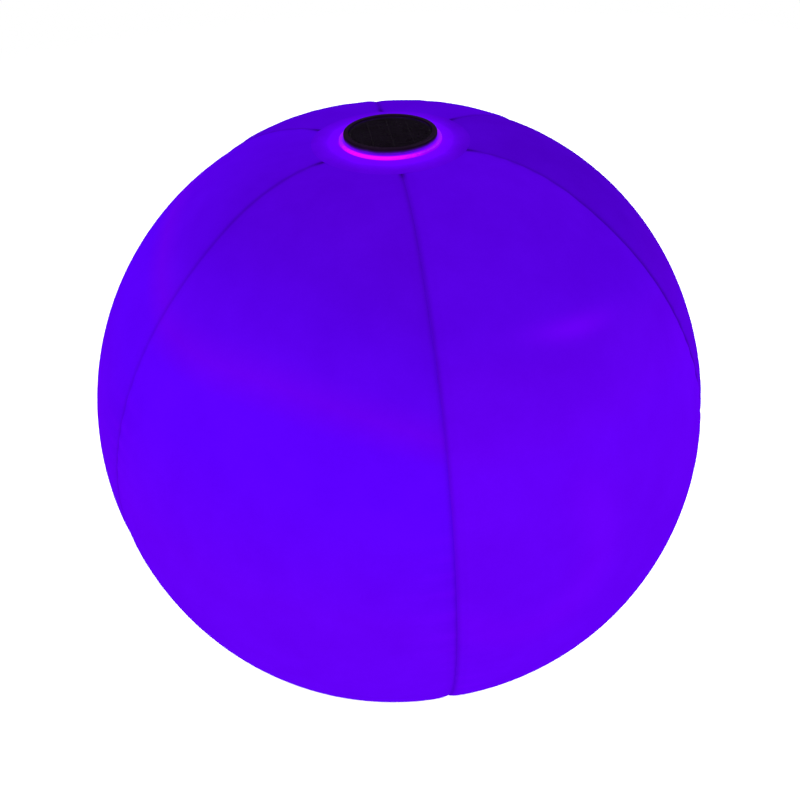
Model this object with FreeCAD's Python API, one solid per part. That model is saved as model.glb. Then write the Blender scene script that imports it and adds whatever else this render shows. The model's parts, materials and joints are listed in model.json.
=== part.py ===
import FreeCAD, Part
import math
import os

# Floating pool light: an inflatable film ball with a solar light module on top.
# Millimetres, +Z up, origin at the centre of the flat patch that the ball rests on.
# The seam between two gores faces -Y, and the other five follow at 60 degrees.

# ---------------------------------------------------------------- driving sizes

# Film ball
ball_radius = 190.0
film = 0.4
gore_count = 6
first_seam = -90.0
lap_width = 5.0
end_flattening = 9.5
cut_past = 1.0
patch_radius = 38.0
tip_radius = 35.0

# Clear cup in the top patch
cup_bore_radius = 20.25
cup_wall = 1.0
cup_depth = 23.0
cup_floor = 1.2
cup_rim_radius = 24.6
cup_rim_thickness = 1.2
cup_hole_gap = 0.25
cup_rim_round = 0.45

# Light module
fit_gap = 0.05
inside_gap = 0.3
bezel_radius = 22.3
bezel_lip_radius = 19.9
bezel_lip = 0.6
bezel_round = 0.7
bezel_lip_round = 0.25
shoulder_radius = 21.4
shoulder_height = 0.6
housing_wall = 1.6
housing_bottom = -19.0
substrate_radius = 20.4
substrate_thickness = 0.8
cell_thickness = 0.2
cell_field_radius = 18.6
cell_count = 4
cell_gap = 0.5
cover_thickness = 0.6
base_thickness = 1.6
board_bottom = -14.6
board_thickness = 1.2
screw_circle = 15.6
screw_count = 3
first_screw_angle = 90.0
screw_radius = 1.0
screw_hole_gap = 0.2
screw_head_radius = 2.0
screw_head_height = 1.2
screw_end_gap = 0.5
recess_width = 0.5
recess_length = 2.6
boss_radius = 3.3
boss_height = 3.0
led_circle = 9.6
led_count = 4
led_angle = 45.0
led_size = 5.0
led_height = 1.6
led_window_radius = 2.1
led_window_floor_radius = 1.7
led_window_depth = 0.6
seal_section = 0.4
seal_groove_depth = 1.1
seal_groove_height = 2.2
seal_centre = -4.0

# Rechargeable cell and its cradle
cell_radius = 5.25
cell_length = 22.0
cell_y = 2.5
cell_z = -4.2
cell_tip_radius = 1.9
cell_tip_length = 0.8
contact_thickness = 0.4
contact_width = 6.0
cradle_wall = 1.0
cradle_end = 1.6
cradle_floor = 0.8
cradle_rise = 1.0
cradle_foot_radius = 1.5
cradle_foot_x = 8.0
lead_radius = 0.6
lead_x = 3.0
lead_y = -9.0

# Small parts on the board
chip_x = -7.0
chip_y = -8.6
chip_length = 5.0
chip_width = 4.0
chip_height = 1.5
chip_lift = 0.2
leg_pitch = 1.27
leg_width = 0.4
leg_length = 1.2
legs_per_side = 4
inductor_x = 7.4
inductor_y = -8.6
inductor_height = 3.2
inductor_core_radius = 1.4
inductor_flange_radius = 2.4
inductor_flange = 0.7
capacitor_y = -13.6
capacitor_radius = 2.0
capacitor_height = 5.0
capacitor_round = 0.3

# Push switch under the module
button_radius = 4.3
button_height = 1.2
button_flange_radius = 5.6
button_flange = 0.6
button_travel = 0.5
stop_gap = 0.1
plunger_radius = 1.5
plunger_grip = 0.7
switch_size = 6.0
guard_gap = 0.4
guard_width = 1.2
guard_height = 0.9

# Ballast at the bottom
weight_radius = 22.0
weight_height = 7.0
pocket_gap = 0.3
pocket_rim = 4.5

# Inflation valve
valve_azimuth = 60.0
valve_elevation = -28.0
stem_bore_radius = 3.5
stem_radius = 5.2
stem_depth = 16.0
stem_lip = 1.4
stem_hole_gap = 0.1
valve_flange_radius = 13.0
valve_flange = 0.8
stopper_fit = 0.08
stopper_head_radius = 6.4
stopper_head = 1.8
stopper_length = 8.4
stopper_round = 0.5
flap_radius = 4.9
flap_thickness = 0.6
flap_cut = 0.6
strap_width = 3.0
strap_thickness = 0.8
strap_reach = 5.5
strap_foot = 5.0
strap_root = 1.0

# ---------------------------------------------------------------- worked-out sizes

# Each end of the ball is flattened: the round gives way to a tighter shoulder, which runs into a flat.
shoulder_angle = 2 * math.atan(end_flattening / patch_radius)
bend_radius = ball_radius - patch_radius / math.sin(shoulder_angle)
half_height = ball_radius - end_flattening
inner_radius = ball_radius - film
centre_z = film + half_height
deck = centre_z + half_height + film
up = FreeCAD.Vector(0, 0, 1)
ball_centre = FreeCAD.Vector(0, 0, centre_z)


# ---------------------------------------------------------------- helpers

def save(node, shape):
    shape.exportStep("parts/" + node + ".step")
    print(node, "volume", round(shape.Volume, 1), "solids", len(shape.Solids), "valid", shape.isValid())


def cylinder(radius, low, high, x=0.0, y=0.0):
    return Part.makeCylinder(radius, high - low, FreeCAD.Vector(x, y, low), up)


def tube(radius, bore, low, high, x=0.0, y=0.0):
    return cylinder(radius, low, high, x, y).cut(cylinder(bore, low - cut_past, high + cut_past, x, y))


def block(size_x, size_y, low, high, x=0.0, y=0.0):
    return Part.makeBox(size_x, size_y, high - low, FreeCAD.Vector(x - size_x / 2, y - size_y / 2, low))


def polar(radius, degrees):
    angle = math.radians(degrees)
    return radius * math.cos(angle), radius * math.sin(angle)


def line_edge(start, end):
    return Part.LineSegment(start, end).toShape()


def arc_edge(radius, middle_x, middle_z, first, last):
    # An arc in the XZ plane between two angles from straight up.
    points = []
    for angle in (first, (first + last) / 2, last):
        x = middle_x + radius * math.sin(angle)
        z = middle_z + radius * math.cos(angle)
        points.append(FreeCAD.Vector(x, 0, z))
    return Part.Arc(*points).toShape()


def gore_outline(depth):
    # The ball's half outline, a depth in from its face: flat tip, shoulder, round, shoulder, flat tip.
    high = centre_z + half_height - depth
    low = centre_z - half_height + depth
    bend = bend_radius - depth
    bend_rise = half_height - bend_radius
    angle = shoulder_angle
    return [
        line_edge(FreeCAD.Vector(tip_radius, 0, high), FreeCAD.Vector(patch_radius, 0, high)),
        arc_edge(bend, patch_radius, centre_z + bend_rise, 0, angle),
        arc_edge(ball_radius - depth, 0, centre_z, angle, math.pi - angle),
        arc_edge(bend, patch_radius, centre_z - bend_rise, math.pi - angle, math.pi),
        line_edge(FreeCAD.Vector(patch_radius, 0, low), FreeCAD.Vector(tip_radius, 0, low)),
    ]


def skin_slice(outer_depth, inner_depth, turn):
    # The skin between two depths, turned part of the way round the ball's axis.
    outside = gore_outline(outer_depth)
    inside = gore_outline(inner_depth)
    high = centre_z + half_height
    low = centre_z - half_height
    ends = []
    for z in (high - outer_depth, high - inner_depth, low + inner_depth, low + outer_depth):
        ends.append(FreeCAD.Vector(tip_radius, 0, z))
    edges = outside + inside + [line_edge(ends[0], ends[1]), line_edge(ends[2], ends[3])]
    face = Part.Face(Part.Wire(Part.__sortEdges__(edges)))
    return face.revolve(FreeCAD.Vector(0, 0, 0), up, turn)


def turned(shape, degrees):
    copy = shape.copy()
    copy.rotate(FreeCAD.Vector(0, 0, 0), up, degrees)
    return copy


def raised(shape):
    # Moves a shape drawn from the top patch's outer face to its place on the ball.
    copy = shape.copy()
    copy.translate(FreeCAD.Vector(0, 0, deck))
    return copy


def round_edges(shape, radius):
    # The circular edges of one radius.
    circles = [edge for edge in shape.Edges if isinstance(edge.Curve, Part.Circle)]
    return [edge for edge in circles if abs(edge.Curve.Radius - radius) < 0.001]


def highest(edges):
    return max(edges, key=lambda edge: edge.BoundBox.ZMax)


def fused(shapes):
    whole = shapes[0]
    for shape in shapes[1:]:
        whole = whole.fuse(shape)
    return whole.removeSplitter()


# ---------------------------------------------------------------- film ball

def gore_panel():
    # One sixth of the ball, with a lap strip welded under its far edge that reaches below the next gore.
    turn = 360.0 / gore_count
    panel = skin_slice(0, film, turn)
    under = skin_slice(film, 2 * film, 2 * turn)
    band = block(2 * ball_radius, 2 * lap_width, 0, deck, ball_radius)
    strip = under.common(turned(band, turn))
    return panel.fuse(strip)


def ballast():
    # A cast disc, and the film pocket that is welded down over it.
    roof = film + weight_height
    inner = weight_radius + pocket_gap
    weight = cylinder(weight_radius, film, roof)
    wall = tube(inner + film, inner, film, roof)
    lid = cylinder(inner + film, roof, roof + film)
    rim = tube(inner + pocket_rim, inner, film, 2 * film)
    return weight, fused([wall, lid, rim])


# ---------------------------------------------------------------- clear cup

def clear_cup():
    wall_radius = cup_bore_radius + cup_wall
    wall = tube(wall_radius, cup_bore_radius, -cup_depth, cup_rim_thickness)
    floor = cylinder(wall_radius, -cup_depth, -cup_depth + cup_floor)
    rim = cylinder(cup_rim_radius, 0, cup_rim_thickness)
    rim = rim.makeFillet(cup_rim_round, round_edges(rim, cup_rim_radius))
    rim = rim.cut(cylinder(cup_bore_radius, -cut_past, cup_rim_thickness + cut_past))
    return fused([wall, floor, rim])


# ---------------------------------------------------------------- light module

housing_radius = cup_bore_radius - fit_gap
housing_bore = housing_radius - housing_wall
shoulder_top = cup_rim_thickness + shoulder_height
substrate_top = shoulder_top + substrate_thickness
cover_bottom = substrate_top + cell_thickness
cover_top = cover_bottom + cover_thickness
bezel_top = cover_top + bezel_lip
board_top = board_bottom + board_thickness
base_top = housing_bottom + base_thickness
screw_angles = [first_screw_angle + step * 360.0 / screw_count for step in range(screw_count)]


def module_housing():
    # A cup-shaped sleeve, with a shoulder on the cup's rim, a groove for the O-ring and three screw bosses.
    sleeve = tube(housing_radius, housing_bore, housing_bottom, cup_rim_thickness)
    shoulder = tube(shoulder_radius, housing_bore, cup_rim_thickness, shoulder_top)
    bosses = []
    for degrees in screw_angles:
        x, y = polar(screw_circle, degrees)
        bosses.append(cylinder(boss_radius, board_top, board_top + boss_height, x, y))
    inside = cylinder(housing_bore + housing_wall / 2, housing_bottom, shoulder_top)
    body = fused([sleeve, shoulder] + [boss.common(inside) for boss in bosses])
    for degrees in screw_angles:
        x, y = polar(screw_circle, degrees)
        bore = cylinder(screw_radius, board_top - cut_past, board_top + boss_height + cut_past, x, y)
        body = body.cut(bore)
    low = seal_centre - seal_groove_height / 2
    high = seal_centre + seal_groove_height / 2
    groove = tube(housing_radius + cut_past, housing_radius - seal_groove_depth, low, high)
    return body.cut(groove)


def housing_seal():
    # An O-ring drawn at rest in its groove, just short of the cup's bore.
    ring_radius = housing_radius - inside_gap - seal_section
    return Part.makeTorus(ring_radius, seal_section, FreeCAD.Vector(0, 0, seal_centre), up)


def bezel_ring():
    # A ring with a rounded brow, hollowed to hold the solar stack under its lip.
    ring = tube(bezel_radius, bezel_lip_radius, shoulder_top, bezel_top)
    ring = ring.makeFillet(bezel_round, [highest(round_edges(ring, bezel_radius))])
    ring = ring.makeFillet(bezel_lip_round, [highest(round_edges(ring, bezel_lip_radius))])
    return ring.cut(cylinder(substrate_radius + fit_gap, shoulder_top - cut_past, cover_top))


def solar_cells():
    # Equal strips cut from one round field, side by side along X.
    pitch = (2 * cell_field_radius + cell_gap) / cell_count
    field = cylinder(cell_field_radius, substrate_top, cover_bottom)
    strips = []
    for index in range(cell_count):
        x = -cell_field_radius - cell_gap / 2 + pitch * (index + 0.5)
        strip = block(pitch - cell_gap, 3 * cell_field_radius, substrate_top, cover_bottom, x)
        strips.append(field.common(strip))
    return strips


def screw_holes(shape, radius, low, high):
    for degrees in screw_angles:
        x, y = polar(screw_circle, degrees)
        shape = shape.cut(cylinder(radius, low - cut_past, high + cut_past, x, y))
    return shape


def base_lens():
    # The frosted disc under the LEDs, with the button's bore and three posts that carry the board.
    disc = cylinder(housing_bore - fit_gap, housing_bottom, base_top)
    inside = cylinder(housing_bore - inside_gap, base_top, board_bottom)
    posts = []
    for degrees in screw_angles:
        x, y = polar(screw_circle, degrees)
        posts.append(cylinder(boss_radius, base_top, board_bottom, x, y).common(inside))
    lens = fused([disc] + posts)
    lens = lens.cut(cylinder(button_radius + fit_gap, housing_bottom - cut_past, base_top + cut_past))
    return screw_holes(lens, screw_radius + screw_hole_gap, housing_bottom, board_bottom)


def base_screw(degrees):
    # A pan-head screw driven up from below, with a cross recess.
    x, y = polar(screw_circle, degrees)
    head_low = housing_bottom - screw_head_height
    recess_top = head_low + screw_head_height / 2
    head = cylinder(screw_head_radius, head_low, housing_bottom, x, y)
    shank = cylinder(screw_radius, housing_bottom, board_top + boss_height - screw_end_gap, x, y)
    slot = block(recess_length, recess_width, head_low - cut_past, recess_top, x, y)
    cross = block(recess_width, recess_length, head_low - cut_past, recess_top, x, y)
    return fused([head, shank]).cut(fused([slot, cross]))


def light_board():
    board = cylinder(housing_bore - inside_gap, board_bottom, board_top)
    return screw_holes(board, screw_radius + screw_hole_gap, board_bottom, board_top)


def led(degrees):
    # A square package with a round dished window on its lower face.
    x, y = polar(led_circle, degrees)
    package = block(led_size, led_size, board_bottom - led_height, board_bottom, x, y)
    mouth = FreeCAD.Vector(x, y, board_bottom - led_height)
    dish = Part.makeCone(led_window_radius, led_window_floor_radius, led_window_depth, mouth, up)
    return package.cut(dish)


def control_chip():
    # A small package with legs at an even pitch along each long side.
    body_low = board_top + chip_lift
    body = block(chip_length, chip_width, body_low, body_low + chip_height, chip_x, chip_y)
    legs = []
    for index in range(legs_per_side):
        leg_x = chip_x + leg_pitch * (index - (legs_per_side - 1) / 2)
        for side in (-1, 1):
            leg_y = chip_y + side * (chip_width / 2 + leg_width)
            legs.append(block(leg_width, leg_length, board_top, body_low + leg_width, leg_x, leg_y))
    return fused([body] + legs)


def inductor():
    # A drum core between two flanges.
    top = board_top + inductor_height
    core = cylinder(inductor_core_radius, board_top, top, inductor_x, inductor_y)
    flanges = []
    for low in (board_top, top - inductor_flange):
        flanges.append(cylinder(inductor_flange_radius, low, low + inductor_flange, inductor_x, inductor_y))
    return fused([core] + flanges)


def capacitor():
    # A round can with softened rims.
    can = cylinder(capacitor_radius, board_top, board_top + capacitor_height, 0, capacitor_y)
    return can.makeFillet(capacitor_round, round_edges(can, capacitor_radius))


def rechargeable_cell():
    half = cell_length / 2
    along = FreeCAD.Vector(1, 0, 0)
    can_start = FreeCAD.Vector(-half, cell_y, cell_z)
    tip_start = FreeCAD.Vector(half - cell_tip_length, cell_y, cell_z)
    can = Part.makeCylinder(cell_radius, cell_length - cell_tip_length, can_start, along)
    tip = Part.makeCylinder(cell_tip_radius, cell_tip_length, tip_start, along)
    return fused([can, tip])


def cell_cradle():
    # A trough with end walls, standing on the board on two feet, with a slot for each contact strip.
    low = cell_z - cell_radius - cradle_floor
    high = cell_z + cradle_rise
    trough_radius = cell_radius + stop_gap
    trough_length = cell_length + 2 * contact_thickness
    tray = block(trough_length + 2 * cradle_end, 2 * (cell_radius + cradle_wall), low, high, 0, cell_y)
    trough_start = FreeCAD.Vector(-trough_length / 2, cell_y, cell_z)
    trough = Part.makeCylinder(trough_radius, trough_length, trough_start, FreeCAD.Vector(1, 0, 0))
    mouth = block(trough_length, 2 * trough_radius, cell_z, high + cut_past, 0, cell_y)
    tray = tray.cut(trough).cut(mouth)
    slot_x = (cell_length + contact_thickness) / 2
    for x in (-slot_x, slot_x):
        slot = block(contact_thickness, contact_width, low - cut_past, high + cut_past, x, cell_y)
        tray = tray.cut(slot)
    feet = [cylinder(cradle_foot_radius, board_top, low, x, cell_y) for x in (-cradle_foot_x, cradle_foot_x)]
    return fused([tray] + feet)


def contact_strip(side):
    x = side * (cell_length + contact_thickness) / 2
    return block(contact_thickness, contact_width, board_top, cell_z + cell_radius / 2, x, cell_y)


def solar_lead(x):
    return cylinder(lead_radius, board_top, shoulder_top, x, lead_y)


# ---------------------------------------------------------------- push switch

button_top = base_top + stop_gap + button_flange
switch_bottom = button_top + button_travel + stop_gap


def power_button():
    stem = cylinder(button_radius, housing_bottom - button_height, base_top + stop_gap)
    flange = cylinder(button_flange_radius, base_top + stop_gap, button_top)
    return fused([stem, flange])


def switch_plunger():
    return cylinder(plunger_radius, button_top, switch_bottom + plunger_grip)


def switch_body():
    body = block(switch_size, switch_size, switch_bottom, board_bottom)
    bore_end = switch_bottom + plunger_grip + button_travel + stop_gap
    return body.cut(cylinder(plunger_radius + fit_gap, switch_bottom - cut_past, bore_end))


def button_guard():
    bore = button_radius + guard_gap
    return tube(bore + guard_width, bore, housing_bottom - guard_height, housing_bottom)


# ---------------------------------------------------------------- inflation valve

def at_valve(shape):
    # Moves a shape drawn along +Z, measured from the ball's centre, onto the valve's axis.
    copy = shape.copy()
    copy.rotate(FreeCAD.Vector(0, 0, 0), FreeCAD.Vector(0, 1, 0), 90 - valve_elevation)
    copy.rotate(FreeCAD.Vector(0, 0, 0), up, valve_azimuth)
    copy.translate(ball_centre)
    return copy


stem_inner_end = inner_radius - stem_depth
stem_outer_end = ball_radius + stem_lip
centre_point = FreeCAD.Vector(0, 0, 0)


def valve_body():
    # A flange that follows the inside of the film, and a stem through it.
    inner_face = Part.makeSphere(inner_radius - valve_flange, centre_point)
    skin = Part.makeSphere(inner_radius, centre_point).cut(inner_face)
    flange = skin.common(cylinder(valve_flange_radius, stem_inner_end, stem_outer_end))
    stem = cylinder(stem_radius, stem_inner_end, stem_outer_end)
    bore = cylinder(stem_bore_radius, stem_inner_end - cut_past, stem_outer_end + cut_past)
    return fused([flange, stem]).cut(bore)


def check_flap():
    # A round flap on the stem's inner end, cut straight where it hinges.
    low = stem_inner_end - flap_thickness
    disc = cylinder(flap_radius, low, stem_inner_end)
    waste = block(2 * flap_cut, 2 * flap_radius, low - cut_past, stem_inner_end + cut_past, -flap_radius)
    return disc.cut(waste)


def valve_stopper():
    head = cylinder(stopper_head_radius, stem_outer_end, stem_outer_end + stopper_head)
    head = head.makeFillet(stopper_round, [highest(round_edges(head, stopper_head_radius))])
    plug_radius = stem_bore_radius - stopper_fit
    plug = cylinder(plug_radius, stem_outer_end - stopper_length, stem_outer_end)
    return fused([head, plug])


def stopper_strap():
    # A flat strap that leaves the edge of the stopper's head, bends over and joins the film beside it.
    top = stem_outer_end + stopper_head - stopper_round
    corner = stopper_head_radius + strap_reach
    span_length = strap_reach + strap_root
    span = block(span_length, strap_width, top - strap_thickness, top, corner - span_length / 2)
    span = span.cut(cylinder(stopper_head_radius, top - stopper_head, top + cut_past))
    leg = block(strap_thickness, strap_width, stem_inner_end, top, corner - strap_thickness / 2)
    foot = block(strap_foot, strap_width, stem_inner_end, top, corner - strap_thickness + strap_foot / 2)
    ball = Part.makeSphere(ball_radius, centre_point)
    skin = Part.makeSphere(ball_radius + film, centre_point).cut(ball)
    return fused([span, leg.cut(ball), skin.common(foot)])


# ---------------------------------------------------------------- every piece, saved by name

os.makedirs("parts", exist_ok=True)

valve_hole = at_valve(cylinder(stem_radius + stem_hole_gap, stem_inner_end, stem_outer_end))
for index in range(gore_count):
    panel = turned(gore_panel(), first_seam + index * 360.0 / gore_count)
    save("gore_panel_" + str(index + 1), panel.cut(valve_hole))

cup_hole_radius = cup_bore_radius + cup_wall + cup_hole_gap
save("top_end_patch", tube(patch_radius, cup_hole_radius, deck - film, deck))
save("bottom_end_patch", cylinder(patch_radius, 0, film))
ballast_weight, ballast_pocket = ballast()
save("ballast_weight", ballast_weight)
save("ballast_pocket", ballast_pocket)

save("clear_cup", raised(clear_cup()))
save("module_housing", raised(module_housing()))
save("housing_seal", raised(housing_seal()))
save("bezel_ring", raised(bezel_ring()))
save("solar_substrate", raised(cylinder(substrate_radius, shoulder_top, substrate_top)))
for index, strip in enumerate(solar_cells()):
    save("solar_cell_" + str(index + 1), raised(strip))
save("solar_cover", raised(cylinder(substrate_radius, cover_bottom, cover_top)))
save("base_lens", raised(base_lens()))
for index, degrees in enumerate(screw_angles):
    save("base_screw_" + str(index + 1), raised(base_screw(degrees)))

save("light_board", raised(light_board()))
for index in range(led_count):
    save("colour_led_" + str(index + 1), raised(led(led_angle + index * 360.0 / led_count)))
save("control_chip", raised(control_chip()))
save("inductor", raised(inductor()))
save("capacitor", raised(capacitor()))
save("rechargeable_cell", raised(rechargeable_cell()))
save("cell_cradle", raised(cell_cradle()))
save("contact_strip_plus", raised(contact_strip(1)))
save("contact_strip_minus", raised(contact_strip(-1)))
save("solar_lead_red", raised(solar_lead(-lead_x)))
save("solar_lead_black", raised(solar_lead(lead_x)))

save("power_button", raised(power_button()))
save("switch_plunger", raised(switch_plunger()))
save("switch_body", raised(switch_body()))
save("button_guard", raised(button_guard()))

save("valve_body", at_valve(valve_body()))
save("check_flap", at_valve(check_flap()))
save("valve_stopper", at_valve(valve_stopper()))
save("stopper_strap", at_valve(stopper_strap()))

print("ball centre height", round(centre_z, 3), "top patch outer face", round(deck, 3))
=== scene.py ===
import json
import math

import bpy
import numpy as np
from mathutils import Matrix, Vector


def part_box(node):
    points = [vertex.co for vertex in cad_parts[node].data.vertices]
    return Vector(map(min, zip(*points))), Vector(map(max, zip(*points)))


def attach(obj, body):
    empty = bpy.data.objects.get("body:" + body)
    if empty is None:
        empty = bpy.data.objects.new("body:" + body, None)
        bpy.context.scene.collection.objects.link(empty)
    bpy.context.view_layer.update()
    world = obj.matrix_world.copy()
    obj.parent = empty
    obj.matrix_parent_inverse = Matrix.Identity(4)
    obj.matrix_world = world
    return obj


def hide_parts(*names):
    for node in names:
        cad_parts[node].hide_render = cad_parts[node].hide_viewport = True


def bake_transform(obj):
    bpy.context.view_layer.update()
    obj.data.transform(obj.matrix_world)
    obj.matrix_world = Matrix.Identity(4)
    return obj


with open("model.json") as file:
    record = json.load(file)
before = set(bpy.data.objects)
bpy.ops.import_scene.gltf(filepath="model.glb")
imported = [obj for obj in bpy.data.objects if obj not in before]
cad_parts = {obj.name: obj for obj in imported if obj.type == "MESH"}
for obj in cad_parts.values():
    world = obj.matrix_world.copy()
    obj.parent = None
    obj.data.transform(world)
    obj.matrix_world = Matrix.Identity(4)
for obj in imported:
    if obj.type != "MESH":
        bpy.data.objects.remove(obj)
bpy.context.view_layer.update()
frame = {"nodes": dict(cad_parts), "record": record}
print("frame loaded:", len(frame["nodes"]), "nodes")


# sizes read from the frame, in metres

def nodeBox(name):
    low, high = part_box(name)
    return np.array(low), np.array(high)


goreNames = sorted(name for name in frame["nodes"] if name.startswith("gore_panel_"))
goreLow = np.min([nodeBox(name)[0] for name in goreNames], axis=0)
goreHigh = np.max([nodeBox(name)[1] for name in goreNames], axis=0)
patchLow, patchHigh = nodeBox("top_end_patch")
cupLow, cupHigh = nodeBox("clear_cup")
bezelLow, bezelHigh = nodeBox("bezel_ring")
rounding = 1.00023             # the frame's circles are many-sided and fall this much short
ballRadius = round(float(goreHigh[0]) * rounding, 4)
centreZ = float(goreLow[2] + goreHigh[2]) / 2
halfHeight = float(goreHigh[2] - goreLow[2]) / 2
filmThickness = float(patchHigh[2] - patchLow[2])
patchRadius = float(patchHigh[0])
deckZ = float(patchHigh[2])

# the ball's outline is a flat tip, then a tighter shoulder, then the round
shoulderAngle = 2 * math.atan((ballRadius - halfHeight) / patchRadius)
bendRadius = ballRadius - patchRadius / math.sin(shoulderAngle)
goreCount = len(goreNames)
goreTurn = 2 * math.pi / goreCount
firstSeam = -math.pi / 2

valveMount = [mount for mount in frame["record"]["mounts"] if mount["name"] == "inflation_valve"][0]
valveAxis = np.array(valveMount["axis"])


# camera, floor and light

view = {
    "distance": 2.05,          # from the ball's centre, in ball radii
    "elevation": 46.4,
    "turn": 6.6,               # how far the camera stands round towards -X from the front seam
    "roll": 2.1,
    "halfAngle": 36.47,        # half of the angle that the frame takes in
    "sensor": 36.0,
}


def setCamera():
    # back = the direction from the ball to the camera; the roll turns right and up about it
    elevation, turn, roll = (math.radians(view[key]) for key in ("elevation", "turn", "roll"))
    level = math.cos(elevation)
    back = Vector((-math.sin(turn) * level, -math.cos(turn) * level, math.sin(elevation)))
    right = Vector((0, 0, 1)).cross(back).normalized()
    up = back.cross(right)
    rolledUp = up * math.cos(roll) + right * math.sin(roll)
    rolledRight = right * math.cos(roll) - up * math.sin(roll)
    standpoint = Vector((0, 0, centreZ)) + back * view["distance"] * ballRadius
    data = bpy.data.cameras.new("mainCamera")
    data.sensor_width = view["sensor"]
    data.lens = view["sensor"] / 2 / math.tan(math.radians(view["halfAngle"]))
    data.clip_start = 0.01
    data.clip_end = 100
    camera = bpy.data.objects.new("mainCamera", data)
    turnMatrix = Matrix((rolledRight, rolledUp, back)).transposed().to_4x4()
    camera.matrix_world = Matrix.Translation(standpoint) @ turnMatrix
    bpy.context.scene.collection.objects.link(camera)
    bpy.context.scene.camera = camera


setCamera()

studio = {
    "worldLight": 0.30,
    "worldSeen": 1.0,          # how bright the room is where it is looked at directly
    "keySize": 3.6,
    "keyPower": 260.0,
    "keyPlace": (-1.2, -2.2, 3.4),
    "fillSize": 3.2,
    "fillPower": 170.0,
    "fillPlace": (2.4, 1.6, 3.2),
    "floorSize": 14.0,
    "floorNear": 0.9,          # the floor's own shade gives way to the room's white between these distances
    "floorFar": 2.2,
}


def addAreaLight(name, place, size, power):
    data = bpy.data.lights.new(name, "AREA")
    data.shape = "DISK"
    data.size = size
    data.energy = power
    lamp = bpy.data.objects.new(name, data)
    lamp.location = place
    aim = Vector((0, 0, centreZ)) - Vector(place)
    lamp.rotation_euler = aim.to_track_quat("-Z", "Y").to_euler()
    bpy.context.scene.collection.objects.link(lamp)


addAreaLight("keyLight", studio["keyPlace"], studio["keySize"], studio["keyPower"])
addAreaLight("fillLight", studio["fillPlace"], studio["fillSize"], studio["fillPower"])
bpy.context.scene.view_settings.view_transform = "Standard"
print("camera and lights set")


# node helpers

def display(red, green, blue):
    # a colour as a screen shows it, 0 to 255, turned into linear light
    share = np.array([red, green, blue]) / 255
    linear = np.where(share <= 0.04045, share / 12.92, ((share + 0.055) / 1.055) ** 2.4)
    return tuple(float(value) for value in linear) + (1.0,)


def connect(tree, node, wires):
    # each input is linked, or given a value
    for socket, value in dict(wires).items():
        if isinstance(value, bpy.types.NodeSocket):
            tree.links.new(value, node.inputs[socket])
        else:
            node.inputs[socket].default_value = value


def add(tree, kind, wires=(), **settings):
    # a shader node with its settings and inputs
    node = tree.nodes.new("ShaderNode" + kind)
    for name, value in settings.items():
        setattr(node, name, value)
    connect(tree, node, wires)
    return node


def calc(tree, operation, *values, clamp=False):
    return add(tree, "Math", enumerate(values), operation=operation, use_clamp=clamp).outputs[0]


def fade(tree, value, low, high, start=0.0, end=1.0, kind="SMOOTHSTEP"):
    wires = {"Value": value, "From Min": low, "From Max": high, "To Min": start, "To Max": end}
    return add(tree, "MapRange", wires, interpolation_type=kind).outputs["Result"]


def mix(tree, share, first, second, how="MIX"):
    wires = {0: share, 6: first, 7: second}
    return add(tree, "Mix", wires, data_type="RGBA", blend_type=how, clamp_factor=True).outputs[2]


def tint(tree, share, tones):
    # between two colours given as a screen shows them
    return mix(tree, share, display(*tones[0]), display(*tones[1]))


def apart(tree, first, second):
    # the distance between two values
    return calc(tree, "ABSOLUTE", calc(tree, "SUBTRACT", first, second))


def ramp(tree, value, stops):
    # stops are (place from 0 to 1, colour)
    node = add(tree, "ValToRGB", {"Fac": value})
    steps = node.color_ramp.elements
    for count, (place, colour) in enumerate(stops):
        step = steps[count] if count < 2 else steps.new(place)
        step.position = place
        step.color = colour
    return node.outputs["Color"]


def noise(tree, point, scale, detail=2.0, roughness=0.5):
    wires = {"Vector": point, "Scale": scale, "Detail": detail, "Roughness": roughness}
    return add(tree, "TexNoise", wires).outputs["Fac"]


def swing(tree, value, amount):
    # a value from 0 to 1 becomes a swing of that amount about nothing: (value - 0.5) * amount
    return calc(tree, "MULTIPLY", calc(tree, "SUBTRACT", value, 0.5), amount)


def scaled(tree, vector, factor):
    return add(tree, "VectorMath", {0: vector, "Scale": factor}, operation="SCALE").outputs[0]


def part(tree, vector, axis):
    return add(tree, "SeparateXYZ", {0: vector}).outputs[axis]


def flattened(tree, point):
    return add(tree, "VectorMath", {0: point, 1: (1, 1, 0)}, operation="MULTIPLY").outputs[0]


def fromAxis(tree, point):
    # distance from the ball's upright axis
    return add(tree, "VectorMath", {0: flattened(tree, point)}, operation="LENGTH").outputs["Value"]


def attribute(tree, name):
    return add(tree, "Attribute", attribute_name=name).outputs["Fac"]


def objectPoint(tree):
    return add(tree, "TexCoord").outputs["Object"]


def newGroup(name, takes, gives):
    # an empty node group; takes and gives are {socket name: "Float", "Color" or "Vector"}
    tree = bpy.data.node_groups.new(name, "ShaderNodeTree")
    for socket, kind in takes.items():
        tree.interface.new_socket(socket, in_out="INPUT", socket_type="NodeSocket" + kind)
    for socket, kind in gives.items():
        tree.interface.new_socket(socket, in_out="OUTPUT", socket_type="NodeSocket" + kind)
    source = tree.nodes.new("NodeGroupInput").outputs
    sink = tree.nodes.new("NodeGroupOutput").inputs
    return tree, source, sink


def useGroup(tree, group, wires):
    node = tree.nodes.new("ShaderNodeGroup")
    node.node_tree = group
    connect(tree, node, wires)
    return node.outputs


def newFinish(name, **sockets):
    # a material with its Principled shader; the sockets given here are constants
    material = bpy.data.materials.new(name)
    material.use_nodes = True
    tree = material.node_tree
    shader = tree.nodes["Principled BSDF"]
    for socket, value in sockets.items():
        shader.inputs[socket.replace("_", " ")].default_value = value
    return material, tree, shader


def wire(tree, output, shader, socket):
    tree.links.new(output, shader.inputs[socket])


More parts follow.
